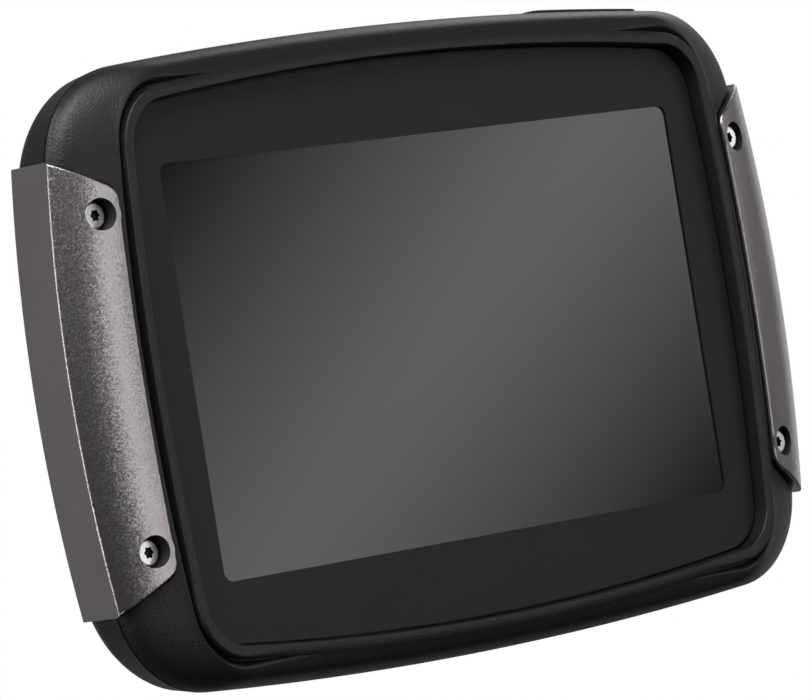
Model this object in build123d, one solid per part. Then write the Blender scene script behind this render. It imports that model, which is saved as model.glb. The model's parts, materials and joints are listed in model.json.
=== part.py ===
"""Ruggedised handlebar satellite navigator: two housings, bezel, touch display, electronics, trims.

Frame: millimetres.  The origin is the centre of the flat dock face at the back, +Y points
out of that face, the screen faces -Y, +X is to the right seen from the screen side, +Z is up.
"""
import os
from math import cos, radians, sin, sqrt

from build123d import *

# ---------------------------------------------------------------- driving dimensions
DEPTH = 30.1             # rim of the screen side to the dock face
RIM_PROUD = 2.2          # rim stands in front of the bezel plate
BEZEL_Y = -(DEPTH - RIM_PROUD)
RIM_Y = -DEPTH
RIM_ROUND = 0.25         # rounding of the rim's two edges
SEAM_Y = BEZEL_Y + 3.25  # joint plane of the two housings
SEAM_LINE = 0.15         # depth and half width of the shadow line along that joint

BODY_HALF_W = 65.9
BODY_HALF_H = 42.65
RIM_HALF_W = 55.8
RIM_HALF_H = 39.5
RECESS_HALF_W = 54.45
RECESS_HALF_H = 38.03
BEZEL_GAP = 0.35
SCREEN_W = 95.3
SCREEN_H = 54.5
SCREEN_R = 1.5
LIP = 0.25               # bezel lip in front of the touch panel

TRIM_EDGE_X = 57.4       # inner edge of a side trim
TRIM_RIDGE_X = 66.95     # ridge between its front wing and side wing
TRIM_FRONT_Y = BEZEL_Y - 1.86
TRIM_RIDGE_Y = BEZEL_Y + 1.75
TRIM_BACK_Y = BEZEL_Y + 8.9
TRIM_BOW_R = 200.0       # ridge line seen from the front
TRIM_CROWN = 0.8         # bulge of the front wing
TRIM_THICK = 1.4
TRIM_HALF_Z = 29.3
TRIM_FIT = 0.3
TRIM_ROUND = 0.35        # rounding around the front wing

GROOVE_W = 1.05          # groove between the rim and the shoulder
GROOVE_Y = BEZEL_Y - 0.7 # its floor

SCREW_X = 59.7
SCREW_Z = 21.7
SCREW_HEAD_R = 1.8
SCREW_HOLE_R = 2.1
SCREW_SHANK_R = 0.95
HEAD_Y = BEZEL_Y + 0.1
CUP_R = 2.8              # cup under a trim that holds the screw head
CUP_Y = HEAD_Y + 1.7

PLATEAU_Y = -11.2        # flat of the back around the dock block
BLOCK_HALF_W = 41.0
BLOCK_HALF_H = 26.0

BUTTON_X = 39.7
BUTTON_Y = BEZEL_Y + 6.9
BUTTON_L = 22.5
BUTTON_T = 4.6
BUTTON_PROUD = 0.7
BUTTON_TRAVEL = 0.5
BUTTON_CLEAR = 0.08
PLUNGER_Y = -21.6
BUTTON_STOP_Z = 39.3     # ceiling of the relief that the button's flange rests against

COVER_W = 30.0           # port cover on the lower back shoulder
COVER_GAP = 0.15
HINGE_Y = -20.6
HINGE_Z = -41.3
HINGE_R = 1.05           # knuckle of the cover
PIN_R = 0.5
COVER_REACH = 10.4       # hinge axis to the cover's free edge

CAVITY_HALF_W = 61.4
CAVITY_HALF_H = 38.6

SHELF_Y = BEZEL_Y + 1.6  # back of the bezel plate, front of the shelf it is glued to
TOUCH_Y = BEZEL_Y + LIP + 0.03
GASKET_Y = TOUCH_Y + 1.1
LCD_Y = GASKET_Y + 0.25
TRAY_Y = LCD_Y + 2.2
CHASSIS_Y = -22.8
BOARD_Y = -20.2
BOARD_T = 1.2
BOARD_BACK_Y = BOARD_Y + BOARD_T
BOARD_HALF_W = 46.5
BOARD_HALF_H = 35.0

TRIM_SCREWS = [(sx * SCREW_X, sz * SCREW_Z) for sx in (-1, 1) for sz in (-1, 1)]
CASE_SCREWS = [(sx * 56.5, sz * 33.0) for sx in (-1, 1) for sz in (-1, 1)]
CASE_SEAT_Y = -19.0
BOARD_SCREWS = [(sx * 29.0, sz * 32.4) for sx in (-1, 1) for sz in (-1, 1)]

CONTACT_Z = -15.5
CONTACT_PITCH = 4.4


# ---------------------------------------------------------------- helpers
def face_at(y):
    """Plane across the depth at y: its local axes are +X and +Z, its normal is -Y."""
    return Plane(origin=(0, y, 0), x_dir=(1, 0, 0), z_dir=(0, -1, 0))


def slab(face, y_front, y_back):
    """Solid prism of a face drawn in X-Z, between two depths."""
    return extrude(face_at(y_back) * face, amount=y_back - y_front)


def box(x, y, z, wx, wy, wz):
    """Box by its centre and sizes."""
    return Pos(x, y, z) * Box(wx, wy, wz)


def rod(x, z, r, y_front, y_back):
    """Round bar along Y."""
    return slab(Pos(x, z) * Circle(r), y_front, y_back)


def corner(half_w, half_h, side_r, top_r):
    """Where the bowed side and the bowed top of an outline would meet."""
    x, z = half_w, half_h
    for _ in range(30):
        x = half_w - side_r + sqrt(side_r ** 2 - z ** 2)
        z = half_h - top_r + sqrt(top_r ** 2 - x ** 2)
    return x, z


def bowed(half_w, half_h, side_r, top_r, corner_r):
    """Rounded rectangle whose four sides bow outwards."""
    cx, cz = corner(half_w, half_h, side_r, top_r)
    top = ThreePointArc((-cx, cz), (0, half_h), (cx, cz))
    right = ThreePointArc((cx, cz), (half_w, 0), (cx, -cz))
    bottom = ThreePointArc((cx, -cz), (0, -half_h), (-cx, -cz))
    left = ThreePointArc((-cx, -cz), (-half_w, 0), (-cx, cz))
    face = make_face([top, right, bottom, left])
    return fillet(face.vertices(), corner_r)


def body_outline(half_w, half_h, corner_r):
    """Outer outline of the housings at one depth."""
    return bowed(half_w, half_h, 227, 680, corner_r)


def rim_outline(inset=0.0):
    """Front rim's outer outline."""
    return bowed(RIM_HALF_W - inset, RIM_HALF_H - inset, 370, 460, 7.7)


def recess_outline(inset=0.0):
    """Opening in the front housing that the bezel plate sits in."""
    return bowed(RECESS_HALF_W - inset, RECESS_HALF_H - inset, 320, 450, 6.5 - inset / 2)


def groove_outline(grow=0.0):
    """Outer outline of the groove: parallel to the rim at the sides, inside it at mid-top."""
    return bowed(RIM_HALF_W + GROOVE_W + grow, RIM_HALF_H - 0.5 + grow, 370, 1500, 8.6 + grow)


def lofted(levels):
    """Solid through a list of (y, outline) sections."""
    return loft([face_at(y) * outline for y, outline in levels])


def mirrored(solid):
    """The same shape on the -X side."""
    return mirror(solid, about=Plane.YZ)


def write(name, solids, colour):
    """Write one node; a list is a group of separate solids."""
    items = solids if isinstance(solids, list) else [solids]
    pieces = [piece for item in items for piece in item.solids()]
    node = pieces[0] if len(pieces) == 1 else Compound(children=pieces)
    node.label = name
    node.color = Color(*colour)
    export_step(node, "parts/" + name + ".step")


# ---------------------------------------------------------------- outer form
def front_form():
    """Outer skin of the front housing, from the rim back to the seam."""
    return lofted([
        (SEAM_Y, body_outline(BODY_HALF_W, BODY_HALF_H, 14.2)),
        (BEZEL_Y + 1.5, body_outline(64.3, 42.5, 13.4)),
        (BEZEL_Y, body_outline(60.9, 42.05, 12.0)),
        (BEZEL_Y - 1.2, body_outline(57.7, 41.2, 10.4)),
        (RIM_Y, bowed(RIM_HALF_W, RIM_HALF_H + 0.25, 370, 460, 8.2)),
    ])


def back_form(inset=0.0):
    """Outer skin of the back housing: a near-straight side wall, then a rounded shoulder."""
    def level(y, half_w, half_h, corner_r):
        return BEZEL_Y + y, body_outline(half_w - inset, half_h - inset, corner_r - 0.8 * inset)

    wall_top = level(7.6, BODY_HALF_W - 0.1, BODY_HALF_H - 0.5, 15.2)
    wall = lofted([level(3.25, BODY_HALF_W, BODY_HALF_H, 14.2), wall_top])
    shoulder = lofted([
        wall_top,
        level(9.3, 65.25, 41.5, 15.4),
        level(10.9, 63.9, 40.4, 14.8),
        level(13.3, 60.6, 37.7, 13.0),
        level(PLATEAU_Y - BEZEL_Y, 55.5, 33.4, 9.5),
    ])
    return wall + shoulder


def block_form():
    """Tapered block on the back that ends in the dock face."""
    foot = RectangleRounded(2 * BLOCK_HALF_W + 6, 2 * BLOCK_HALF_H + 6, 9)
    top = RectangleRounded(2 * BLOCK_HALF_W, 2 * BLOCK_HALF_H, 6)
    block = loft([face_at(PLATEAU_Y - 3) * foot, face_at(0) * top])
    return fillet(block.faces().sort_by(Axis.Y)[-1].edges(), 0.6)


def trim_form(grow=0.0, thick=TRIM_THICK):
    """L-shaped side trim on the +X side: a front wing, a ridge and a side wing."""
    mid_x = (TRIM_EDGE_X + TRIM_RIDGE_X) / 2
    mid_y = (TRIM_FRONT_Y + TRIM_RIDGE_Y) / 2 - TRIM_CROWN
    side_x = BODY_HALF_W - 0.55 - grow
    start_x = TRIM_EDGE_X - 1.5
    start_y = TRIM_FRONT_Y - 0.02
    profile = make_face([
        ThreePointArc((start_x, start_y - grow), (mid_x, mid_y - grow),
                      (TRIM_RIDGE_X + grow, TRIM_RIDGE_Y - grow)),
        Line((TRIM_RIDGE_X + grow, TRIM_RIDGE_Y - grow), (TRIM_RIDGE_X + grow, TRIM_BACK_Y + grow)),
        Line((TRIM_RIDGE_X + grow, TRIM_BACK_Y + grow), (side_x, TRIM_BACK_Y + grow)),
        Line((side_x, TRIM_BACK_Y + grow), (side_x, TRIM_RIDGE_Y - 0.4 + thick + grow)),
        ThreePointArc((side_x, TRIM_RIDGE_Y - 0.4 + thick + grow), (mid_x, mid_y + thick + grow),
                      (start_x, start_y + thick + grow)),
        Line((start_x, start_y + thick + grow), (start_x, start_y - grow)),
    ])
    centre_x = TRIM_RIDGE_X - TRIM_BOW_R
    axis = Axis((centre_x, 0, 0), (0, 1, 0))
    sweep_deg = 24.0
    upper_end = Pos(centre_x, 0, 0) * Rot(0, -sweep_deg / 2, 0) * Pos(-centre_x, 0, 0) * profile
    band = revolve(upper_end, axis, revolution_arc=sweep_deg)
    return band & slab(trim_plan(grow), TRIM_FRONT_Y - 3, TRIM_BACK_Y + 3)


def trim_plan(grow=0.0):
    """Front view of a trim: bowed inner edge, slanting ends with rounded inner corners."""
    inner_x = TRIM_EDGE_X - grow * 0.5
    top_z = TRIM_HALF_Z + grow
    low_z = 24.6 + grow
    inner_bow = 0.8
    plan = make_face([
        ThreePointArc((inner_x - inner_bow, -low_z), (inner_x, 0), (inner_x - inner_bow, low_z)),
        Line((inner_x - inner_bow, low_z), (64.9, top_z)),
        Line((64.9, top_z), (70.0, top_z)),
        Line((70.0, top_z), (70.0, -top_z)),
        Line((70.0, -top_z), (64.9, -top_z)),
        Line((64.9, -top_z), (inner_x - inner_bow, -low_z)),
    ])
    inner = plan.vertices().sort_by(Axis.X)[0:2]
    return fillet(inner, 2.4)


# ---------------------------------------------------------------- fasteners
def six_lobe(x, z, size):
    """Six-lobed driver recess, drawn in X-Z."""
    shape = Pos(x, z) * Circle(size * 0.8)
    for k in range(6):
        angle = radians(60 * k)
        shape += Pos(x + size * 0.76 * cos(angle), z + size * 0.76 * sin(angle)) * Circle(size * 0.24)
    return shape


def screw(x, z, head_y, seat_y, tip_y, head_r, shank_r):
    """Pan-head screw along Y: head_y is the outside of its head, seat_y its underside."""
    low, high = sorted((head_y, seat_y))
    outside = 0 if head_y < seat_y else -1
    head = rod(x, z, head_r, low, high)
    head = fillet(head.edges().sort_by(Axis.Y)[outside], 0.35)
    shank = rod(x, z, shank_r, *sorted((seat_y, tip_y)))
    depth = (seat_y - head_y) * 0.6
    socket = slab(six_lobe(x, z, head_r * 0.45), *sorted((head_y - depth * 0.1, head_y + depth)))
    return head + shank - socket


def sleeve(x, z, y_front, y_back, outer_r, inner_r):
    """Threaded insert, drawn as a plain sleeve."""
    return rod(x, z, outer_r, y_front, y_back) - rod(x, z, inner_r, y_front - 1, y_back + 1)


# ---------------------------------------------------------------- housings
def seal_outline():
    """Ring between the housings, outside the cavity."""
    return body_outline(64.2, 41.0, 12.6) - body_outline(63.2, 40.0, 11.6)


def rim_groove():
    """Space of the groove around the rim, with a sloping outer bank."""
    rim = slab(rim_outline(), RIM_Y, GROOVE_Y + 1)
    rim = fillet(rim.faces().sort_by(Axis.Y)[0].edges(), RIM_ROUND)
    trench = slab(groove_outline(), RIM_Y - 1, GROOVE_Y)
    bank = lofted([(GROOVE_Y - 0.3, groove_outline()), (RIM_Y, groove_outline(0.7))])
    return trench + bank - rim


def seam_line():
    """Fine shadow line around the joint of the two housings."""
    outer = body_outline(BODY_HALF_W + 1, BODY_HALF_H + 1, 15.2)
    inner = body_outline(BODY_HALF_W - SEAM_LINE, BODY_HALF_H - SEAM_LINE, 14.05)
    return slab(outer - inner, SEAM_Y - SEAM_LINE, SEAM_Y + SEAM_LINE)


def front_housing():
    """Front housing: rim, shoulder, bezel shelf, seam groove and insert pockets."""
    solid = front_form() - slab(recess_outline(), RIM_Y - 1, SHELF_Y)
    mouth = solid.faces().sort_by(Axis.Y)[0].inner_wires()[0]
    solid = fillet(mouth.edges(), RIM_ROUND)
    solid -= slab(RectangleRounded(103.0, 64.0, 3.0), SHELF_Y - 1, SEAM_Y + 1)
    solid -= rim_groove()
    solid -= seam_line()
    trim = trim_form(TRIM_FIT)
    solid -= trim
    solid -= mirrored(trim)
    for x, z in TRIM_SCREWS:
        solid -= rod(x, z, CUP_R + 0.1, BEZEL_Y - 4, CUP_Y + 0.1)
        solid -= rod(x, z, SCREW_SHANK_R + 0.2, BEZEL_Y - 4, SEAM_Y + 1)
    for x, z in CASE_SCREWS:
        solid -= rod(x, z, 1.7, SEAM_Y - 2.6, SEAM_Y + 1)
    return solid


def back_cavity():
    """Hollow inside the back housing: the shallow tray and the well of the dock block."""
    tray = lofted([
        (SEAM_Y - 1, body_outline(CAVITY_HALF_W, CAVITY_HALF_H, 10.0)),
        (BEZEL_Y + 7.0, body_outline(CAVITY_HALF_W, CAVITY_HALF_H, 10.0)),
        (PLATEAU_Y - 2.4, body_outline(54.0, 31.8, 8.0)),
    ])
    well = RectangleRounded(2 * (BLOCK_HALF_W - 2.4), 2 * (BLOCK_HALF_H - 2.4), 4.5)
    return tray + slab(well, PLATEAU_Y - 5, -2.4)


def hinge_rod(r, half_length):
    """Round bar along the cover's hinge axis."""
    return Pos(0, HINGE_Y, HINGE_Z) * Rot(0, 90, 0) * Cylinder(r, 2 * half_length)


def port_wedge(gap=0.0):
    """Space of the port cover: everything below its slanting inner face, out to its free edge."""
    front_y = HINGE_Y - HINGE_R - 2 * gap
    corners = [(front_y, -50.0), (front_y, -39.2 + gap), (-10.0, -32.1 + gap), (-10.0, -50.0)]
    outline = make_face(Polyline(*corners, close=True))
    half = COVER_W / 2 + gap
    wedge = extrude(Plane(origin=(-half, 0, 0), x_dir=(0, 1, 0), z_dir=(1, 0, 0)) * outline, amount=2 * half)
    return wedge & hinge_rod(COVER_REACH + gap, half + 1)


def back_housing():
    """Back housing: shoulder, dock block, bosses, posts and every opening."""
    outer = back_form() + block_form()
    solid = outer - back_cavity() - seam_line()
    for x, z in TRIM_SCREWS:
        solid += rod(x, z, 2.6, SEAM_Y, -16.6) & outer
        solid -= rod(x, z, 1.5, SEAM_Y - 1, HEAD_Y + 8.9)
    for x, z in CASE_SCREWS:
        solid += rod(x, z, 3.3, SEAM_Y, CASE_SEAT_Y + 3.0) & outer
        solid -= rod(x, z, 1.3, SEAM_Y - 1, CASE_SEAT_Y + 1)
        solid -= rod(x, z, 2.6, CASE_SEAT_Y, -5.0)
    for x, z in BOARD_SCREWS:
        solid += rod(x, z, 2.6, BOARD_BACK_Y, PLATEAU_Y - 1.0) & outer
        solid -= rod(x, z, 1.0, BOARD_BACK_Y - 1, PLATEAU_Y - 3.0)
    solid += box(0, -18.3, -37.5, 35.0, 12.6, 5.0) & outer
    solid -= slab(seal_outline(), SEAM_Y - 1, SEAM_Y + 0.6)
    solid -= port_wedge(COVER_GAP)
    solid -= hinge_rod(HINGE_R + 0.12, COVER_W / 2 + COVER_GAP)
    solid -= hinge_rod(PIN_R + 0.02, COVER_W / 2 + 2.0)
    solid -= box(-7.0, -17.65, -36.5, 8.0, 3.0, 8.0)
    solid -= box(6.0, -17.95, -36.5, 11.8, 1.3, 8.0)
    solid -= button_hole()
    trim = trim_form(TRIM_FIT)
    solid -= trim
    solid -= mirrored(trim)
    solid -= slab(Pos(0, CONTACT_Z) * RectangleRounded(26.0, 7.0, 2.0), -6.0, 1.0)
    solid -= box(0, -0.4, BLOCK_HALF_H - 3.2, 14.0, 2.8, 3.2)
    for side in (-1, 1):
        solid -= box(side * 24.0, -0.4, -BLOCK_HALF_H + 3.4, 8.0, 2.8, 3.2)
    return solid


def stadium(length, width):
    """Long pad with round ends, drawn in X-Y."""
    return SlotOverall(length, width)


def button_hole():
    """Opening for the button's pad, and the relief inside the wall for its flange."""
    hole = stadium(BUTTON_L + 2 * BUTTON_CLEAR, BUTTON_T + 2 * BUTTON_CLEAR)
    through = Pos(BUTTON_X, BUTTON_Y, 36.0) * extrude(hole, amount=10.0)
    relief = Pos(BUTTON_X, BUTTON_Y, 34.0) * extrude(stadium(26.2, 5.6), amount=BUTTON_STOP_Z - 34.0)
    return through + relief


# ---------------------------------------------------------------- display
def bezel_frame():
    """Flat plate around the display, with a rebate behind for the touch panel."""
    solid = slab(recess_outline(BEZEL_GAP), BEZEL_Y, SHELF_Y)
    solid -= slab(RectangleRounded(SCREEN_W, SCREEN_H, SCREEN_R), BEZEL_Y - 1, SHELF_Y + 1)
    solid -= slab(RectangleRounded(99.2, 58.2, 2.0), BEZEL_Y + LIP, SHELF_Y + 1)
    return solid


def touch_panel():
    """Touch glass behind the bezel lip."""
    return slab(RectangleRounded(98.8, 57.8, 1.8), TOUCH_Y, GASKET_Y)


def display_gasket():
    """Thin adhesive frame between the touch glass and the display."""
    return slab(RectangleRounded(98.4, 57.4, 1.8) - Rectangle(96.2, 55.2), GASKET_Y, LCD_Y)


def lcd_panel():
    """Liquid-crystal cell."""
    return slab(RectangleRounded(99.4, 59.4, 0.8), LCD_Y, TRAY_Y)


def backlight_tray():
    """Pressed steel tray behind the display, with folded edges."""
    tray = slab(RectangleRounded(100.2, 60.2, 1.0), TRAY_Y - 1.0, TRAY_Y + 0.6)
    return tray - slab(RectangleRounded(99.4, 59.4, 0.8), TRAY_Y - 2.0, TRAY_Y)


def lcd_flex():
    """Ribbon from the display down through the chassis to the board."""
    front = box(0, TRAY_Y + 0.66, -28.0, 20.0, 0.12, 5.0)
    fold = box(0, (TRAY_Y + 0.6 + BOARD_Y) / 2, -30.56, 20.0, BOARD_Y - TRAY_Y - 0.6, 0.12)
    rear = box(0, BOARD_Y - 0.06, -29.0, 20.0, 0.12, 3.24)
    return front + fold + rear


# ---------------------------------------------------------------- electronics
def chassis_frame():
    """Stiff inner plate between the display and the board, with standoff rims."""
    plate = slab(body_outline(57.0, 37.0, 9.0), CHASSIS_Y, CHASSIS_Y + 1.2)
    plate -= slab(RectangleRounded(60.0, 30.0, 4.0), CHASSIS_Y - 1, CHASSIS_Y + 2)
    plate -= box(0, CHASSIS_Y, -30.6, 22.0, 6.0, 1.8)
    plate -= box(BUTTON_X, CHASSIS_Y, 36.0, 15.0, 6.0, 9.0)
    plate -= box(0, CHASSIS_Y, -37.4, 37.0, 6.0, 6.0)
    for x, z in CASE_SCREWS:
        plate -= rod(x, z, 3.8, CHASSIS_Y - 1, CHASSIS_Y + 2)
    for x, z in BOARD_SCREWS:
        plate += rod(x, z, 2.6, CHASSIS_Y + 1.0, BOARD_Y)
        plate -= rod(x, z, 1.2, CHASSIS_Y - 1, BOARD_Y + 1)
    return plate


def main_board():
    """Circuit board with screw holes and a notch over the ports."""
    board = slab(RectangleRounded(2 * BOARD_HALF_W, 2 * BOARD_HALF_H, 2.0), BOARD_Y, BOARD_BACK_Y)
    board -= box(0, BOARD_Y, -36.6, 37.0, 6.0, 4.2)
    for x, z in BOARD_SCREWS:
        board -= rod(x, z, 1.2, BOARD_Y - 1, BOARD_BACK_Y + 1)
    return board


def board_chips():
    """Processor, memory, power chips and receiver on the back of the board."""
    places = [(-10, 14, 14, 14), (10, 14, 11, 13), (26, 14, 9, 9), (-12, -8, 8, 8), (8, -9, 6, 9), (30, -10, 7, 7)]
    return [box(x, BOARD_BACK_Y + 0.5, z, w, 1.0, h) for x, z, w, h in places]


def shield_cans():
    """Two folded covers over the chip groups."""
    cans = []
    for x, z, w, h in ((8.0, 14.0, 56.0, 19.0), (8.0, -9.0, 56.0, 14.0)):
        can = box(x, BOARD_BACK_Y + 0.9, z, w, 1.8, h)
        cans.append(can - box(x, BOARD_BACK_Y + 0.7, z, w - 0.4, 1.4, h - 0.4))
    return cans


def antenna_patch():
    """Ceramic patch antenna on a small ground plate."""
    base = box(-34.0, BOARD_BACK_Y + 0.3, 14.0, 20.0, 0.6, 20.0)
    patch = box(-34.0, BOARD_BACK_Y + 1.4, 14.0, 17.0, 1.8, 17.0)
    return base + chamfer(patch.edges().group_by(Axis.Y)[-1], 0.3)


def battery_pack():
    """Pouch battery in the dock block."""
    cell = slab(Pos(0, 7.0) * RectangleRounded(70.0, 30.0, 3.0), -12.6, -3.0)
    return fillet(cell.edges().group_by(Axis.Y)[0] + cell.edges().group_by(Axis.Y)[-1], 1.2)


def battery_pad():
    """Foam pad that holds the battery in its well."""
    return slab(Pos(0, 7.0) * RectangleRounded(58.0, 22.0, 2.0), -3.0, -2.4)


def battery_lead():
    """Short lead and plug from the battery to the board."""
    plug = box(-30.0, BOARD_BACK_Y + 1.5, -14.0, 7.0, 3.0, 5.0)
    riser = box(-30.0, -13.4, -11.6, 4.0, 6.0, 1.2)
    foot = box(-30.0, -11.0, -9.6, 4.0, 1.2, 3.2)
    return plug + riser + foot


def usb_socket():
    """Micro-size data and charging socket that faces down."""
    shell = box(-7.0, -17.65, -34.4, 7.6, 2.6, 5.6)
    mouth = box(-7.0, -17.65, -35.8, 6.9, 1.9, 4.8)
    tongue = box(-7.0, -17.35, -35.2, 4.0, 0.6, 3.6)
    return shell - mouth + tongue


def card_socket():
    """Push-in memory card socket that faces down."""
    shell = box(6.0, -18.05, -27.9, 14.4, 1.9, 13.8)
    return shell - box(6.0, -17.95, -29.0, 11.2, 1.0, 13.0)


def power_switch():
    """Side-pressed switch at the top edge of the board."""
    body = box(BUTTON_X, -21.75, 34.3, 6.0, 3.0, 3.4)
    return body - box(BUTTON_X, PLUNGER_Y, 35.3, 2.6, 1.4, 2.0)


def switch_plunger():
    """Plunger of the power switch."""
    return box(BUTTON_X, PLUNGER_Y, 36.15, 2.4, 1.2, 2.1)


def power_button():
    """Button: pad level with the housing's curve, a flange inside the wall and a stem."""
    pad = Pos(BUTTON_X, BUTTON_Y, 38.6) * extrude(stadium(BUTTON_L, BUTTON_T), amount=8.0)
    skin = lofted([
        (SEAM_Y - 1.0, body_outline(BODY_HALF_W + BUTTON_PROUD, BODY_HALF_H + BUTTON_PROUD, 14.9)),
        (BEZEL_Y + 7.8, body_outline(BODY_HALF_W + 0.5, BODY_HALF_H, 16.8)),
        (BEZEL_Y + 9.9, body_outline(65.4, 41.8, 16.6)),
    ])
    pad = pad & skin
    top = BUTTON_STOP_Z - 0.02
    flange = Pos(BUTTON_X, BUTTON_Y, top - 0.9) * extrude(stadium(25.4, 5.1), amount=0.9)
    stem = box(BUTTON_X, BUTTON_Y, (top - 0.8 + 37.22) / 2, 3.0, 2.0, top - 0.8 - 37.22)
    return pad + flange + stem


# ---------------------------------------------------------------- dock contacts and port cover
def contact_block():
    """Insulating block that carries the dock contacts, set in the dock face."""
    nose = slab(Pos(0, CONTACT_Z) * RectangleRounded(25.8, 6.8, 1.9), -3.4, -0.8)
    flange = slab(Pos(0, CONTACT_Z) * RectangleRounded(31.0, 12.0, 2.0), -4.8, -3.0)
    block = nose + flange
    for k in range(-2, 3):
        block -= box(k * CONTACT_PITCH, -3.0, CONTACT_Z, 2.2, 6.0, 4.0)
    return block


def dock_contacts():
    """Five sprung-pin landing pads."""
    return [box(k * CONTACT_PITCH, -3.0, CONTACT_Z, 2.2, 5.0, 4.0) for k in range(-2, 3)]


def contact_seal():
    """Rubber ring between the contact block's flange and the housing."""
    outer = Pos(0, CONTACT_Z) * RectangleRounded(30.6, 11.6, 2.0)
    inner = Pos(0, CONTACT_Z) * RectangleRounded(26.4, 7.4, 2.0)
    return slab(outer - inner, -3.0, -2.4)


def dock_flex():
    """Ribbon from the dock contacts to the board."""
    pad = box(0, -5.56, CONTACT_Z + 0.5, 22.0, 0.12, 7.0)
    drop = box(0, (-5.5 + BOARD_BACK_Y) / 2, CONTACT_Z - 3.06, 22.0, -5.5 - BOARD_BACK_Y, 0.12)
    foot = box(0, BOARD_BACK_Y + 0.06, CONTACT_Z - 4.1, 22.0, 0.12, 2.2)
    return pad + drop + foot


def port_cover():
    """Weather cover over the ports: a curved plate with a hinge knuckle along its front edge."""
    behind_hinge = slab(Rectangle(100, 100), HINGE_Y, 0)
    plate = port_wedge() & (back_form() - back_form(1.9)) & behind_hinge
    knuckle = hinge_rod(HINGE_R, COVER_W / 2)
    return plate + knuckle - hinge_rod(PIN_R + 0.05, COVER_W / 2 + 1)


def cover_pin():
    """Hinge pin of the port cover."""
    return hinge_rod(PIN_R, COVER_W / 2 + 1.8)


def trim_right():
    """Right side trim with counterbored screw seats."""
    solid = trim_form()
    wing = solid.faces().filter_by(lambda face: face.normal_at().Y < -0.5).sort_by(SortBy.AREA)[-1]
    solid = fillet(wing.edges(), TRIM_ROUND)
    for z in (-SCREW_Z, SCREW_Z):
        solid += trim_form(thick=4.2) & rod(SCREW_X, z, CUP_R, BEZEL_Y - 6, CUP_Y)
    for x, z in TRIM_SCREWS:
        solid -= rod(x, z, SCREW_HOLE_R, BEZEL_Y - 6, HEAD_Y + 1.0)
        solid -= rod(x, z, SCREW_SHANK_R + 0.15, BEZEL_Y - 6, SEAM_Y + 3)
    return solid


# ---------------------------------------------------------------- write the nodes
BLACK = (0.06, 0.06, 0.065)
METAL = (0.62, 0.62, 0.63)
GREEN = (0.05, 0.25, 0.14)
GOLD = (0.83, 0.62, 0.25)
GREY = (0.35, 0.33, 0.34)
AMBER = (0.6, 0.35, 0.1)

os.makedirs("parts", exist_ok=True)

write("front_housing", front_housing(), BLACK)
write("back_housing", back_housing(), BLACK)
write("bezel_frame", bezel_frame(), BLACK)
write("touch_panel", touch_panel(), (0.1, 0.11, 0.12))
write("display_gasket", display_gasket(), BLACK)
write("lcd_panel", lcd_panel(), (0.03, 0.03, 0.035))
write("backlight_tray", backlight_tray(), METAL)
write("lcd_flex", lcd_flex(), AMBER)
write("chassis_frame", chassis_frame(), METAL)
write("main_board", main_board(), GREEN)
write("board_chips", board_chips(), BLACK)
write("shield_cans", shield_cans(), METAL)
write("antenna_patch", antenna_patch(), (0.8, 0.78, 0.72))
write("battery_pack", battery_pack(), (0.55, 0.57, 0.6))
write("battery_pad", battery_pad(), BLACK)
write("battery_lead", battery_lead(), (0.7, 0.1, 0.08))
write("usb_socket", usb_socket(), METAL)
write("card_socket", card_socket(), METAL)
write("power_switch", power_switch(), METAL)
write("switch_plunger", switch_plunger(), BLACK)
write("power_button", power_button(), BLACK)
write("housing_seal", slab(seal_outline(), SEAM_Y, SEAM_Y + 0.6), BLACK)
write("trim_right", trim_right(), GREY)
write("trim_left", mirrored(trim_right()), GREY)
write("trim_screws", [screw(x, z, HEAD_Y, HEAD_Y + 1.0, HEAD_Y + 8.6, SCREW_HEAD_R, SCREW_SHANK_R)
                      for x, z in TRIM_SCREWS], METAL)
write("trim_inserts", [sleeve(x, z, SEAM_Y + 0.4, HEAD_Y + 8.7, 1.5, SCREW_SHANK_R) for x, z in TRIM_SCREWS], GOLD)
write("case_screws", [screw(x, z, CASE_SEAT_Y + 1.6, CASE_SEAT_Y, SEAM_Y - 2.0, 2.3, 1.1)
                      for x, z in CASE_SCREWS], METAL)
write("case_inserts", [sleeve(x, z, SEAM_Y - 2.5, SEAM_Y - 0.1, 1.7, 1.1) for x, z in CASE_SCREWS], GOLD)
write("board_screws", [screw(x, z, CHASSIS_Y - 0.9, CHASSIS_Y, PLATEAU_Y - 3.6, 1.9, 1.0)
                       for x, z in BOARD_SCREWS], METAL)
write("port_cover", port_cover(), BLACK)
write("cover_pin", cover_pin(), METAL)
write("contact_block", contact_block(), BLACK)
write("dock_contacts", dock_contacts(), GOLD)
write("contact_seal", contact_seal(), BLACK)
write("dock_flex", dock_flex(), AMBER)
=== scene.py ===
import json
from math import atan2, cos, pi, radians, sin, sqrt

import bmesh
import bpy
from mathutils import Matrix, Vector


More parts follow.
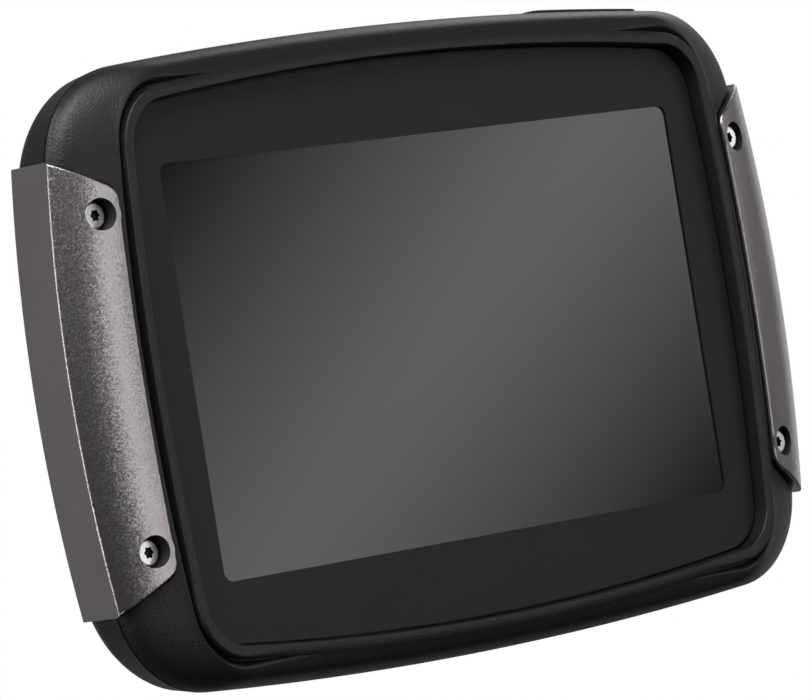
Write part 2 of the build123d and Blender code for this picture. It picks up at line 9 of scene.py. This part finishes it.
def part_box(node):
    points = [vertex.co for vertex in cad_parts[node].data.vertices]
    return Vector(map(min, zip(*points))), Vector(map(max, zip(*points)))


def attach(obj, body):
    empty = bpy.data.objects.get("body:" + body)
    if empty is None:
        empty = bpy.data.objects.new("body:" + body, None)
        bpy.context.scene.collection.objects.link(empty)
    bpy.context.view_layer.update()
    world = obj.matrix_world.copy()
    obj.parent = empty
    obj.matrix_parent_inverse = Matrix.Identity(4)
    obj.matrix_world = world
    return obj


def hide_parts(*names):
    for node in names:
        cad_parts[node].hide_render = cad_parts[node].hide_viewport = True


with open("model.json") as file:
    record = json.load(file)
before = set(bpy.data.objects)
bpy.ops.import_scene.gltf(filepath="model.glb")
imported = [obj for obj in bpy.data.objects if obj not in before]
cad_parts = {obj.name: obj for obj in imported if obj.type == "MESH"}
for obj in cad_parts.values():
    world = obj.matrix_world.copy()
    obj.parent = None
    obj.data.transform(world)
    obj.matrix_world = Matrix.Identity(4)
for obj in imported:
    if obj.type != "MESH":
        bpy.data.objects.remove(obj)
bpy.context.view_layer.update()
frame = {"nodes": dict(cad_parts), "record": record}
nodes = frame["nodes"]

MM = 0.001

# ---------------------------------------------------------------- camera
VIEW_AZIMUTH = -43.94        # degrees, from the screen side towards the left
VIEW_ELEVATION = -0.55
VIEW_ROLL = -9.13            # the unit is shown leaning to the left
VIEW_DISTANCE = 0.8062
LENS_MM = 266.8
SENSOR_MM = 36.0
AIM = Vector((-4.82, -23.24, -1.06)) * MM


def view_axes(azimuth, elevation, roll):
    """Right, up and back directions of a camera."""
    a, e, r = radians(azimuth), radians(elevation), radians(roll)
    back = Vector((sin(a) * cos(e), -cos(a) * cos(e), sin(e)))
    level_right = Vector((cos(a), sin(a), 0.0))
    level_up = back.cross(level_right)
    right = level_right * cos(r) + level_up * sin(r)
    up = level_up * cos(r) - level_right * sin(r)
    return right, up, back


def make_camera():
    """Long lens at the photographed viewing angle."""
    data = bpy.data.cameras.new("camera")
    data.lens = LENS_MM
    data.sensor_width = SENSOR_MM
    data.sensor_fit = "HORIZONTAL"
    data.clip_start = 0.01
    data.clip_end = 100.0
    camera = bpy.data.objects.new("camera", data)
    bpy.context.scene.collection.objects.link(camera)
    right, up, back = view_axes(VIEW_AZIMUTH, VIEW_ELEVATION, VIEW_ROLL)
    place = AIM + back * VIEW_DISTANCE
    camera.matrix_world = Matrix((
        (right.x, up.x, back.x, place.x),
        (right.y, up.y, back.y, place.y),
        (right.z, up.z, back.z, place.z),
        (0.0, 0.0, 0.0, 1.0)))
    bpy.context.scene.camera = camera


# ---------------------------------------------------------------- node helpers
class Graph:
    """A material's or world's node tree, with short calls for what repeats."""

    def __init__(self, tree):
        self.tree = tree
        tree.nodes.clear()

    def add(self, kind, settings=None, **inputs):
        node = self.tree.nodes.new(kind)
        for key, value in (settings or {}).items():
            setattr(node, key, value)
        for key, value in inputs.items():
            self.feed(node, key.replace("_", " "), value)
        return node

    def feed(self, node, name, value):
        socket = node.inputs[int(name)] if name.isdigit() else node.inputs[name]
        if isinstance(value, bpy.types.NodeSocket):
            self.tree.links.new(value, socket)
        else:
            socket.default_value = value

    def math(self, operation, a, b=0.0, clamp=False):
        node = self.add("ShaderNodeMath", {"operation": operation, "use_clamp": clamp})
        self.feed(node, "0", a)
        self.feed(node, "1", b)
        return node.outputs[0]

    def vector(self, operation, a, b=None):
        node = self.add("ShaderNodeVectorMath", {"operation": operation})
        self.feed(node, "0", a)
        if b is not None:
            self.feed(node, "1", b)
        return node.outputs["Vector"]

    def ramp(self, value, stops, smooth=False):
        node = self.add("ShaderNodeValToRGB", Fac=value)
        node.color_ramp.interpolation = "EASE" if smooth else "LINEAR"
        elements = node.color_ramp.elements
        while len(elements) < len(stops):
            elements.new(0.5)
        for element, (place, colour) in zip(elements, stops):
            element.position = place
            element.color = colour
        return node.outputs["Color"]


def grey(value):
    """Neutral opaque colour."""
    return (value, value, value, 1.0)


def new_material(name):
    """A material with an empty tree, a Principled shader and an output."""
    material = bpy.data.materials.new(name)
    material.use_nodes = True
    graph = Graph(material.node_tree)
    shader = graph.add("ShaderNodeBsdfPrincipled")
    out = graph.add("ShaderNodeOutputMaterial")
    material.node_tree.links.new(shader.outputs[0], out.inputs["Surface"])
    coords = graph.add("ShaderNodeTexCoord").outputs["Object"]
    return material, graph, shader, coords


def noise(graph, coords, size_mm, detail=2.0, roughness=0.5):
    """Noise whose features are about size_mm across."""
    node = graph.add("ShaderNodeTexNoise", Vector=coords, Scale=1.0 / (size_mm * MM), Detail=detail,
                     Roughness=roughness)
    return node.outputs["Fac"]


def bump(graph, height, depth_mm):
    """Bump of a real depth."""
    node = graph.add("ShaderNodeBump", Height=height, Distance=depth_mm * MM, Strength=1.0)
    return node.outputs["Normal"]


def blend(graph, factor, first, second):
    """Colour between two others."""
    mix = graph.add("ShaderNodeMix", {"data_type": "RGBA"}, Factor=factor)
    graph.feed(mix, "6", first)
    graph.feed(mix, "7", second)
    return mix.outputs[2]


def spread(graph, value, low, high):
    """Map a noise value to a range."""
    node = graph.add("ShaderNodeMapRange", {"clamp": True}, Value=value, From_Min=0.3, From_Max=0.7,
                     To_Min=low, To_Max=high)
    return node.outputs["Result"]


# ---------------------------------------------------------------- materials
def grained_plastic(name, tone, rough, grain_mm, depth_mm, specular=0.5):
    """Moulded plastic with a spark-eroded grain and faint cloudiness."""
    material, graph, shader, coords = new_material(name)
    grain = noise(graph, coords, grain_mm, detail=3.0, roughness=0.6)
    cloud = noise(graph, coords, 9.0, detail=2.0)
    graph.feed(shader, "Base Color", blend(graph, cloud, grey(tone * 0.85), grey(tone * 1.15)))
    graph.feed(shader, "Roughness", spread(graph, grain, rough - 0.07, rough + 0.07))
    graph.feed(shader, "Normal", bump(graph, grain, depth_mm))
    shader.inputs["Specular IOR Level"].default_value = specular
    return material


FLAKES = ((0.17, 0.065), (0.11, 0.06))       # size in mm and greatest tilt of the lacquer's flakes


def metallic_lacquer():
    """Gunmetal lacquer: every flake is tilted its own small way, under a thin clear coat."""
    material, graph, shader, coords = new_material("trim_lacquer")
    tint = blend(graph, noise(graph, coords, 6.0), (0.36, 0.325, 0.337, 1.0), (0.40, 0.370, 0.378, 1.0))
    graph.feed(shader, "Base Color", tint)
    shader.inputs["Metallic"].default_value = 1.0
    shader.inputs["Roughness"].default_value = 0.32
    normal = graph.add("ShaderNodeNewGeometry").outputs["Normal"]
    for size_mm, tilt in FLAKES:
        flakes = graph.add("ShaderNodeTexVoronoi", Vector=coords, Scale=1.0 / (size_mm * MM))
        centred = graph.vector("SUBTRACT", flakes.outputs["Color"], (0.5, 0.5, 0.5))
        tilted = graph.add("ShaderNodeVectorMath", {"operation": "SCALE"}, Vector=centred, Scale=2 * tilt)
        normal = graph.vector("ADD", normal, tilted.outputs["Vector"])
    graph.feed(shader, "Normal", graph.vector("NORMALIZE", normal))
    shader.inputs["Coat Weight"].default_value = 0.12
    shader.inputs["Coat Roughness"].default_value = 0.12
    return material


def touch_glass():
    """Dark anti-glare panel of a display that is off."""
    material, graph, shader, coords = new_material("touch_glass")
    haze = noise(graph, coords, 0.12, detail=2.0)
    shader.inputs["Base Color"].default_value = grey(0.006)
    graph.feed(shader, "Roughness", spread(graph, haze, 0.09, 0.14))
    graph.feed(shader, "Normal", bump(graph, haze, 0.0006))
    shader.inputs["IOR"].default_value = 1.5
    return material


def bright_steel(name, tone, rough):
    """Turned steel with fine scratches."""
    material, graph, shader, coords = new_material(name)
    scratch = noise(graph, coords, 0.12, detail=4.0, roughness=0.7)
    stain = noise(graph, coords, 1.1, detail=2.0)
    graph.feed(shader, "Base Color", blend(graph, stain, grey(tone * 0.8), grey(min(1.0, tone * 1.1))))
    shader.inputs["Metallic"].default_value = 1.0
    graph.feed(shader, "Roughness", spread(graph, scratch, rough - 0.08, rough + 0.1))
    graph.feed(shader, "Normal", bump(graph, scratch, 0.003))
    return material


def tinted(name, colour, rough, metallic=0.0):
    """General finish for inner pieces: a colour with slight cloudiness and grain."""
    material, graph, shader, coords = new_material(name)
    cloud = noise(graph, coords, 4.0)
    dark = (*[c * 0.8 for c in colour], 1.0)
    light = (*[min(1.0, c * 1.15) for c in colour], 1.0)
    graph.feed(shader, "Base Color", blend(graph, cloud, dark, light))
    shader.inputs["Metallic"].default_value = metallic
    grain = noise(graph, coords, 0.3, detail=3.0)
    graph.feed(shader, "Roughness", spread(graph, grain, rough - 0.06, rough + 0.06))
    graph.feed(shader, "Normal", bump(graph, grain, 0.01))
    return material


HOUSING = grained_plastic("housing_grain", 0.007, 0.42, 0.28, 0.075, specular=0.42)
BEZEL = grained_plastic("bezel_satin", 0.009, 0.55, 0.12, 0.004, specular=0.32)
RUBBER = grained_plastic("soft_rubber", 0.013, 0.62, 0.16, 0.012, specular=0.35)
CONTACT = grained_plastic("contact_plastic", 0.02, 0.5, 0.15, 0.01)
TRIM = metallic_lacquer()
GLASS = touch_glass()
SCREW = bright_steel("screw_steel", 0.85, 0.3)
DARK_SCREW = bright_steel("black_oxide", 0.09, 0.42)

# Dark material that paints shade into the screws' driver recesses and onto the walls of the trims' screw
# wells.
SOCKET_PAINTED_SHADE = tinted("screw_socket_painted_shade", (0.012, 0.011, 0.010), 0.6)

SLOTS = {
    "display_cell": tinted("display_cell", (0.012, 0.012, 0.016), 0.2),
    "pressed_steel": tinted("pressed_steel", (0.6, 0.6, 0.61), 0.35, 1.0),
    "flex_film": tinted("flex_film", (0.5, 0.26, 0.06), 0.3),
    "cast_alloy": tinted("cast_alloy", (0.5, 0.5, 0.51), 0.5, 1.0),
    "circuit_board": tinted("circuit_board", (0.02, 0.15, 0.07), 0.35),
    "chip_plastic": tinted("chip_plastic", (0.03, 0.03, 0.032), 0.5),
    "ceramic": tinted("ceramic", (0.75, 0.72, 0.65), 0.5),
    "battery_foil": tinted("battery_foil", (0.6, 0.61, 0.63), 0.35, 1.0),
    "lead_plastic": tinted("lead_plastic", (0.55, 0.05, 0.04), 0.45),
    "socket_steel": tinted("socket_steel", (0.62, 0.62, 0.63), 0.3, 1.0),
    "insert_brass": tinted("insert_brass", (0.7, 0.52, 0.24), 0.35, 1.0),
    "contact_gold": tinted("contact_gold", (0.9, 0.66, 0.28), 0.25, 1.0),
    "seal_rubber": RUBBER,
    "black_foam": RUBBER,
    "housing_plastic": HOUSING,
    "bezel_plastic": BEZEL,
    "screen_glass": GLASS,
    "button_rubber": RUBBER,
    "cover_rubber": RUBBER,
    "contact_plastic": CONTACT,
    "trim_metallic": TRIM,
    "screw_steel": SCREW,
    "dark_screw_steel": DARK_SCREW,
}


def finish_cad_nodes():
    """Give every CAD node the material of its slot."""
    for entry in frame["record"]["subparts"]:
        mesh = nodes[entry["node"]].data
        mesh.materials.clear()
        mesh.materials.append(SLOTS[entry["material_slot"]])


SCREW_X = 59.7
SCREW_Z = 21.7
SCREW_AXES = [Vector((side_x * SCREW_X, side_z * SCREW_Z)) * MM for side_x in (-1, 1) for side_z in (-1, 1)]
SOCKET_R = 1.15              # within it lies a screw's driver recess, mm
SOCKET_START = 0.04          # depth below the head's top where the recess begins, mm
WELL_R = 2.3                 # within it lie the walls of a screw's well in a trim, mm


def from_screw_axis(point):
    """Distance of a point from the nearest trim screw's axis."""
    return min((axis - point.xz).length for axis in SCREW_AXES)


def paint_shade_in_screw_sockets():
    """Painted shade: the driver recess of each trim screw gets a dark material on its walls and floor."""
    mesh = nodes["trim_screws"].data
    mesh.materials.append(SOCKET_PAINTED_SHADE)
    head_y = min(corner.co.y for corner in mesh.vertices)
    for face in mesh.polygons:
        below = face.center.y > head_y + SOCKET_START * MM
        if below and from_screw_axis(face.center) < SOCKET_R * MM:
            face.material_index = 1


def paint_shade_on_screw_wells():
    """Painted shade: the walls of the screw wells in the side trims get the same dark material as the
    driver recesses.
    """
    for name in ("trim_left", "trim_right"):
        mesh = nodes[name].data
        mesh.materials.append(SOCKET_PAINTED_SHADE)
        for face in mesh.polygons:
            if abs(face.normal.y) < 0.3 and from_screw_axis(face.center) < WELL_R * MM:
                face.material_index = 1


# ---------------------------------------------------------------- housing mesh
def corner_mm(node, index):
    """Lowest (0) or highest (1) corner of a CAD node, in millimetres."""
    return Vector(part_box(node)[index]) / MM


BEZEL_Y = corner_mm("bezel_frame", 0).y
SHELF_Y = corner_mm("bezel_frame", 1).y
RIM_Y = corner_mm("front_housing", 0).y
SEAM_Y = corner_mm("front_housing", 1).y
SIDE_STEPS = 30
CORNER_STEPS = 24
TOP_STEPS = 36
EDGE_ROUND = 0.25            # rounding of the rim's edges, mm
SOFT_ROLL = 1.2              # width of the rim's roll-off at mid-top and mid-bottom
GROOVE_DEPTH = 1.35
GROOVE_WALL = 0.06           # width of its inner wall, as a share of the first span of the shoulder
GROOVE_FLOOR = 0.02          # least width of its floor and bank, as the same share
GROOVE_BANK = 0.60           # added width of its outer bank where it is deepest
GROOVE_FADE = (36.0, 52.0)   # the groove runs out between these distances from the middle
GROOVE_SIDE = 30.0           # nearer the middle height than this, the groove is whole
EDGE_SHARES = (0.0, 0.03, 0.06, 0.1, 0.16, 0.22, 0.29, 0.36, 0.43, 0.5, 0.58, 0.66, 0.74, 0.86,
               1.0, 1.2, 1.4, 1.6)
OUTER_SHARES = (1.8, 2.0, 2.2, 2.4, 2.6, 2.8, 3.0, 3.2, 3.4, 3.6, 3.8, 3.99)


def arc(x, z, radius, start, end, steps):
    """Points along an arc, without its last one."""
    angles = [start + (end - start) * k / steps for k in range(steps)]
    return [(x + radius * cos(a), z + radius * sin(a)) for a in angles]


def bowed(half_w, half_h, side_r, top_r, corner_r):
    """Points round a rectangle whose sides bow outwards and whose corners are rounded."""
    side_x, top_z = half_w - side_r, half_h - top_r
    z = half_h - corner_r
    for _ in range(40):
        x = side_x + sqrt((side_r - corner_r) ** 2 - z * z)
        z = top_z + sqrt((top_r - corner_r) ** 2 - x * x)
    side_end = atan2(z, x - side_x)
    top_start = atan2(z - top_z, x)
    quarter = arc(side_x, 0.0, side_r, 0.0, side_end, SIDE_STEPS)
    quarter += arc(x, z, corner_r, side_end, top_start, CORNER_STEPS)
    quarter += arc(0.0, top_z, top_r, top_start, pi / 2, TOP_STEPS)
    quarter.append((0.0, half_h))
    left = [(-x, z) for x, z in reversed(quarter)][1:]
    low_left = [(-x, -z) for x, z in quarter][1:]
    low_right = [(x, -z) for x, z in reversed(quarter)][1:-1]
    return quarter + left + low_left + low_right


def rim_outline(inset):
    """Outer outline of the rim."""
    return bowed(55.8 - inset, 39.7 - inset, 370, 460, 8.0 - inset)


def recess_outline(grow):
    """Mouth of the recess that holds the bezel."""
    return bowed(54.45 + grow, 38.03 + grow, 320, 450, 6.5 + grow)


def body_outline(half_w, half_h, corner_r):
    """Outline of the shoulder at one depth."""
    return bowed(half_w, half_h, 227, 680, corner_r)


def ring(outline, y):
    """Points of an outline at one depth."""
    return [Vector((x, y, z)) for x, z in outline]


def blend_rings(rings, span, part):
    """Smooth curve through neighbouring rings, point by point."""
    last = len(rings) - 1
    before, start, end, after = (rings[min(max(span + k, 0), last)] for k in (-1, 0, 1, 2))
    points = []
    for p0, p1, p2, p3 in zip(before, start, end, after):
        lead = (p2 - p0) * 0.5 * part
        bend = (p0 * 2 - p1 * 5 + p2 * 4 - p3) * 0.5 * part ** 2
        turn = (p1 * 3 - p0 - p2 * 3 + p3) * 0.5 * part ** 3
        points.append(p1 + lead + bend + turn)
    return points


def ease(value):
    """Smooth step from 0 to 1."""
    value = min(1.0, max(0.0, value))
    return value * value * (3 - 2 * value)


def groove_depth(across, point):
    """Depth of the groove at a place across it: steep by the rim, a long soft bank outside."""
    wall = min(1.0, across / GROOVE_WALL)
    share = groove_share(point)
    bank_width = GROOVE_FLOOR + GROOVE_BANK * share
    bank = ease((0.10 + bank_width - across) / bank_width)
    return GROOVE_DEPTH * wall * bank * share


def groove_share(point):
    """How deep the groove is along the rim: full at the sides, nothing at mid-top and mid-bottom."""
    if abs(point.z) < GROOVE_SIDE:
        return 1.0
    start, end = GROOVE_FADE
    return ease((abs(point.x) - start) / (end - start))


def brow_ring(turn):
    """Outer edge of the rim: crisp beside the groove, a wide soft roll where there is none."""
    angle = turn * pi / 2
    tight = EDGE_ROUND * (1 - sin(angle))
    wide = SOFT_ROLL * (1 - turn)
    crisp = ring(rim_outline(tight), RIM_Y + EDGE_ROUND * (1 - cos(angle)))
    soft = ring(rim_outline(wide), RIM_Y + EDGE_ROUND * turn ** 2)
    return [low.lerp(high, groove_share(low)) for low, high in zip(soft, crisp)]


def mouth_ring(turn):
    """Rounded edge between the recess wall and the rim's front."""
    angle = turn * pi / 2
    grow = EDGE_ROUND * (1 - cos(angle))
    return ring(recess_outline(grow), RIM_Y + EDGE_ROUND * (1 - sin(angle)))


def front_rings():
    """Cross-section of the front housing, ring by ring, from the bezel's shelf out and round."""
    recess = [ring(recess_outline(0.0), y) for y in (SHELF_Y, BEZEL_Y)]
    rim = [mouth_ring(k / 4) for k in range(5)] + [brow_ring(k / 6) for k in range(6)]
    levels = [
        ring(rim_outline(0.0), RIM_Y + EDGE_ROUND),
        ring(body_outline(57.7, 41.2, 10.4), BEZEL_Y - 1.2),
        ring(body_outline(60.9, 42.05, 12.0), BEZEL_Y),
        ring(body_outline(64.3, 42.5, 13.4), BEZEL_Y + 1.5),
        ring(body_outline(65.9, 42.65, 14.2), SEAM_Y - 0.2),
    ]
    shoulder = []
    for across in EDGE_SHARES:
        points = blend_rings(levels, int(across), across % 1.0)
        for point in points:
            point.y += groove_depth(across, point)
        shoulder.append(points)
    for across in OUTER_SHARES:
        shoulder.append(blend_rings(levels, int(across), across % 1.0))
    closing = [
        ring(body_outline(65.7, 42.45, 14.0), SEAM_Y - 0.02),
        ring(body_outline(63.0, 40.0, 12.0), SEAM_Y),
        ring(bowed(51.5, 32.0, 4000, 4000, 3.0), SEAM_Y),
        ring(bowed(51.5, 32.0, 4000, 4000, 3.0), SHELF_Y),
    ]
    return recess + rim + shoulder + closing


def ring_mesh(name, rings):
    """Closed band of quads through a list of rings, back to the first one."""
    count = len(rings[0])
    corners = [point * MM for points in rings for point in points]
    faces = []
    for row in range(len(rings)):
        low, high = row * count, (row + 1) % len(rings) * count
        for k in range(count):
            step = (k + 1) % count
            faces.append((low + k, low + step, high + step, high + k))
    mesh = bpy.data.meshes.new(name)
    mesh.from_pydata(corners, [], faces)
    mesh.validate()
    return mesh


def face_outwards(mesh):
    """Turn every face's normal outwards."""
    work = bmesh.new()
    work.from_mesh(mesh)
    bmesh.ops.recalc_face_normals(work, faces=work.faces)
    work.to_mesh(mesh)
    work.free()


def new_piece(name, mesh, material, replaced):
    """Link a mesh as a piece of the root body that stands for CAD nodes."""
    face_outwards(mesh)
    mesh.materials.clear()
    mesh.materials.append(material)
    piece = bpy.data.objects.new(name, mesh)
    bpy.context.scene.collection.objects.link(piece)
    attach(piece, "root")
    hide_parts(*replaced)


def prism(name, outline, y_front, y_back):
    """Closed prism of an X-Z outline, used to cut."""
    count = len(outline)
    corners = [(x * MM, y * MM, z * MM) for y in (y_front, y_back) for x, z in outline]
    faces = [tuple(range(count)), tuple(range(2 * count - 1, count - 1, -1))]
    faces += [(k, k + count, (k + 1) % count + count, (k + 1) % count) for k in range(count)]
    mesh = bpy.data.meshes.new(name)
    mesh.from_pydata(corners, [], faces)
    face_outwards(mesh)
    return mesh


def cut(mesh, cutters):
    """The mesh with each cutter taken away from it."""
    work = bpy.data.objects.new("work", mesh)
    bpy.context.scene.collection.objects.link(work)
    tools = []
    for cutter in cutters:
        tool = bpy.data.objects.new("tool", cutter)
        bpy.context.scene.collection.objects.link(tool)
        tools.append(tool)
        step = work.modifiers.new("cut", "BOOLEAN")
        step.operation = "DIFFERENCE"
        step.solver = "EXACT"
        step.object = tool
    bpy.context.view_layer.update()
    result = bpy.data.meshes.new_from_object(work.evaluated_get(bpy.context.evaluated_depsgraph_get()))
    for item in [work] + tools:
        bpy.data.objects.remove(item)
    return result


CREASE_DEG = 38.0            # sharper edges than this stay creased


def soften(mesh):
    """Smooth shading with creases only at sharp edges."""
    mesh.shade_smooth()
    mesh.set_sharp_from_angle(angle=radians(CREASE_DEG))


def trim_pocket(side):
    """Outline of the pocket under a side trim: bowed inner edge, slanting ends."""
    inner_x = 57.25
    inner_bow = 0.8
    end_z = 25.0
    outer_x = 72.0
    bow = [(inner_x - inner_bow * (k / 8) ** 2, end_z * k / 8) for k in range(-7, 8)]
    turn = [(56.60, end_z - 0.6), (56.90, end_z + 0.1), (57.45, end_z + 0.55)]
    top = turn + [(65.0, 29.80), (outer_x, 29.80)]
    outline = bow + top + [(x, -z) for x, z in reversed(top)]
    return [(side * x, z) for x, z in outline]


def make_front_housing():
    """Front housing with its rounded rim, soft groove, shoulder and the two trim pockets."""
    body = ring_mesh("front_housing_shell", front_rings())
    pockets = [prism("pocket", trim_pocket(side), RIM_Y - 5.0, SEAM_Y + 2.0) for side in (-1, 1)]
    shell = cut(body, pockets)
    shell.name = "front_housing_shell"
    soften(shell)
    new_piece("front_housing_shell", shell, HOUSING, ["front_housing"])


# ---------------------------------------------------------------- studio
def aimed(place, target, roll_deg=0.0):
    """World matrix that puts an object at place with its -Z towards target."""
    back = (place - target).normalized()
    right = Vector((0, 0, 1)).cross(back)
    right = right.normalized() if right.length > 1e-6 else Vector((1, 0, 0))
    up = back.cross(right)
    basis = Matrix((right, up, back)).transposed().to_4x4()
    return Matrix.Translation(place) @ basis @ Matrix.Rotation(radians(roll_deg), 4, "Z")


def direction(azimuth, elevation):
    """Unit vector towards an azimuth and elevation, azimuth 0 being in front of the screen."""
    a, e = radians(azimuth), radians(elevation)
    return Vector((sin(a) * cos(e), -cos(a) * cos(e), sin(e)))


def softbox(name, azimuth, elevation, distance, width, height, radiance):
    """Rectangular area light aimed at the unit, by how bright its face is."""
    data = bpy.data.lights.new(name, "AREA")
    data.shape = "RECTANGLE"
    data.size = width
    data.size_y = height
    data.energy = radiance * pi * width * height
    light = bpy.data.objects.new(name, data)
    light.matrix_world = aimed(AIM + direction(azimuth, elevation) * distance, AIM)
    light.visible_camera = False
    bpy.context.scene.collection.objects.link(light)


CARD_DISTANCE = 0.40
CARD_SIZE = 0.34
CARD_FALLOFF = 0.065
CARD_STRENGTH = 2.5
CARD_ROLL = -45.0


def gradient_card():
    """Soft strip of light, bright along one diagonal, that the display mirrors to the camera."""
    mesh = bpy.data.meshes.new("gradient_card")
    half = CARD_SIZE / 2
    corners = [(-half, -half, 0), (half, -half, 0), (half, half, 0), (-half, half, 0)]
    mesh.from_pydata(corners, [], [(0, 1, 2, 3)])
    card = bpy.data.objects.new("gradient_card", mesh)
    bpy.context.scene.collection.objects.link(card)
    material = bpy.data.materials.new("gradient_card")
    material.use_nodes = True
    graph = Graph(material.node_tree)
    coords = graph.add("ShaderNodeTexCoord").outputs["Object"]
    split = graph.add("ShaderNodeSeparateXYZ", Vector=coords)
    across = graph.math("ABSOLUTE", split.outputs["X"])
    falling = graph.math("DIVIDE", across, CARD_FALLOFF)
    level = graph.math("SUBTRACT", 1.0, falling, clamp=True)
    strength = graph.math("MULTIPLY", level, CARD_STRENGTH)
    emission = graph.add("ShaderNodeEmission", Color=grey(1.0), Strength=strength)
    graph.add("ShaderNodeOutputMaterial", Surface=emission.outputs[0])
    mesh.materials.append(material)
    place = AIM + direction(-VIEW_AZIMUTH, -VIEW_ELEVATION) * CARD_DISTANCE
    card.matrix_world = aimed(place, AIM, CARD_ROLL)
    card.visible_camera = False
    card.visible_diffuse = False
    card.visible_shadow = False


def make_world():
    """Grey studio behind the unit and a dark one in front of it; seen directly it is white."""
    world = bpy.data.worlds.new("studio")
    bpy.context.scene.world = world
    world.use_nodes = True
    graph = Graph(world.node_tree)
    heading = graph.add("ShaderNodeTexCoord").outputs["Generated"]
    split = graph.add("ShaderNodeSeparateXYZ", Vector=heading)
    backwards = graph.math("ADD", graph.math("MULTIPLY", split.outputs["Y"], 0.5), 0.5)
    around = graph.ramp(backwards, [(0.40, grey(0.02)), (0.62, grey(0.14)), (1.0, grey(0.26))], smooth=True)
    seen = graph.add("ShaderNodeLightPath").outputs["Is Camera Ray"]
    shader = graph.add("ShaderNodeBackground", Color=blend(graph, seen, around, grey(1.0)), Strength=1.0)
    graph.add("ShaderNodeOutputWorld", Surface=shader.outputs[0])


FLOOR_HALF = 12.0            # metres
FLOOR_Z = -1.2


def make_floor():
    """Wide pale floor well below the unit."""
    mesh = bpy.data.meshes.new("floor")
    corners = [(x * FLOOR_HALF, y * FLOOR_HALF, FLOOR_Z) for x, y in ((-1, -1), (1, -1), (1, 1), (-1, 1))]
    mesh.from_pydata(corners, [], [(0, 1, 2, 3)])
    floor = bpy.data.objects.new("floor", mesh)
    bpy.context.scene.collection.objects.link(floor)
    material, graph, shader, coords = new_material("floor_white")
    paper = noise(graph, coords, 300.0)
    tone = graph.ramp(paper, [(0.0, grey(0.84)), (1.0, grey(0.9))])
    graph.feed(shader, "Base Color", tone)
    shader.inputs["Roughness"].default_value = 0.9
    shader.inputs["Emission Color"].default_value = grey(1.0)
    shader.inputs["Emission Strength"].default_value = 1.0
    mesh.materials.append(material)
    floor.visible_glossy = False
    floor.visible_diffuse = False


def make_lights():
    """Softboxes round the unit, and the card that the display mirrors."""
    # name, azimuth, elevation, distance, width, height, radiance
    softbox("front_panel", 13, 4, 0.9, 0.42, 0.8, 1.7)
    softbox("top_left_panel", -42, 52, 0.8, 0.56, 0.46, 9.5)
    softbox("left_strip", -88, 2, 0.8, 0.40, 0.55, 3.6)
    softbox("right_panel", 72, 4, 0.9, 0.30, 0.8, 0.40)
    softbox("rear_panel", 110, 4, 0.9, 0.42, 0.8, 0.62)
    softbox("upper_rear_panel", 112, 36, 0.9, 0.40, 0.35, 2.2)
    gradient_card()


make_camera()
make_world()
make_floor()
make_lights()
finish_cad_nodes()
# Painted shade: a dark material in the screws' driver recesses and on the walls of the trims' screw wells.
paint_shade_in_screw_sockets()
paint_shade_on_screw_wells()
make_front_housing()
bpy.context.scene.view_settings.view_transform = "Standard"
